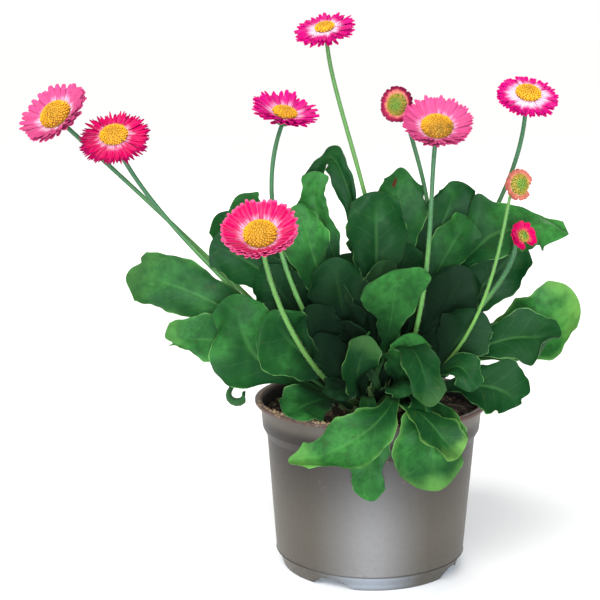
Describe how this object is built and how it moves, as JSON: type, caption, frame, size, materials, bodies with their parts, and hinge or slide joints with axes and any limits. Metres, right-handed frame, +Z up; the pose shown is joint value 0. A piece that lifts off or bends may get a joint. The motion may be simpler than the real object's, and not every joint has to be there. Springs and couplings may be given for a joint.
{
  "type": "potted english daisy",
  "caption": "Flowering daisy plant with a leafy rosette, pink blooms on bare stems and small buds, growing from compost in a thin round plastic nursery pot.",
  "frame": {"origin": "middle of the pot's underside, on the surface that it stands on", "axes": "+Z up along the pot's axis; -Y is the plant's front and +X its right seen from the front"},
  "size_m": [0.2446, 0.1595, 0.2478],
  "materials": {
    "plastic": "taupe-grey thin moulded plastic, satin sheen",
    "compost": "dark moist peat and bark crumbs",
    "crown": "packed petiole bases, yellow-green",
    "leaf": "mid to dark green leaf, soft satin, pale midrib",
    "stem": "bare green flower stem and bract cup, finely hairy",
    "petal_magenta": "magenta ray petals, paler at the root",
    "petal_pink": "pink ray petals, near white at the root",
    "petal_salmon": "short salmon petals of an opening bud",
    "disc_yellow": "dome of golden yellow florets",
    "disc_green": "dome of unopened yellow-green florets"
  },
  "bodies": {
    "root": {"bloom_far_left_disc": "disc_yellow", "bloom_far_left_petals": "petal_pink", "bloom_far_left_stem": "stem", "bloom_far_right_disc": "disc_yellow", "bloom_far_right_petals": "petal_pink", "bloom_far_right_stem": "stem", "bloom_front_disc": "disc_yellow", "bloom_front_petals": "petal_magenta", "bloom_front_stem": "stem", "bloom_left_disc": "disc_yellow", "bloom_left_petals": "petal_magenta", "bloom_left_stem": "stem", "bloom_middle_right_disc": "disc_yellow", "bloom_middle_right_petals": "petal_pink", "bloom_middle_right_stem": "stem", "bloom_top_disc": "disc_yellow", "bloom_top_petals": "petal_magenta", "bloom_top_stem": "stem", "bloom_upper_left_disc": "disc_yellow", "bloom_upper_left_petals": "petal_magenta", "bloom_upper_left_stem": "stem", "bud_high_disc": "disc_green", "bud_high_petals": "petal_salmon", "bud_high_stem": "stem", "bud_low_right_disc": "disc_green", "bud_low_right_petals": "petal_magenta", "bud_low_right_stem": "stem", "bud_right_disc": "disc_green", "bud_right_petals": "petal_salmon", "bud_right_stem": "stem", "compost": "compost", "crown": "crown", "leaf_back_left": "leaf", "leaf_centre_front": "leaf", "leaf_front_drape": "leaf", "leaf_front_fold": "leaf", "leaf_front_left_low": "leaf", "leaf_front_tongue": "leaf", "leaf_left_back": "leaf", "leaf_left_front": "leaf", "leaf_left_long": "leaf", "leaf_right_back": "leaf", "leaf_right_front_low": "leaf", "leaf_right_light": "leaf", "leaf_right_upper": "leaf", "leaves_back": "leaf", "leaves_back_right": "leaf", "leaves_back_tall": "leaf", "leaves_centre_left": "leaf", "leaves_front_left": "leaf", "leaves_front_right": "leaf", "leaves_left_inner": "leaf", "leaves_left_low": "leaf", "leaves_left_upper": "leaf", "leaves_right_inner": "leaf", "leaves_right_middle": "leaf", "leaves_right_round": "leaf", "leaves_top_nodding": "leaf", "leaves_top_round": "leaf", "pot": "plastic"}
  },
  "joints": []
}
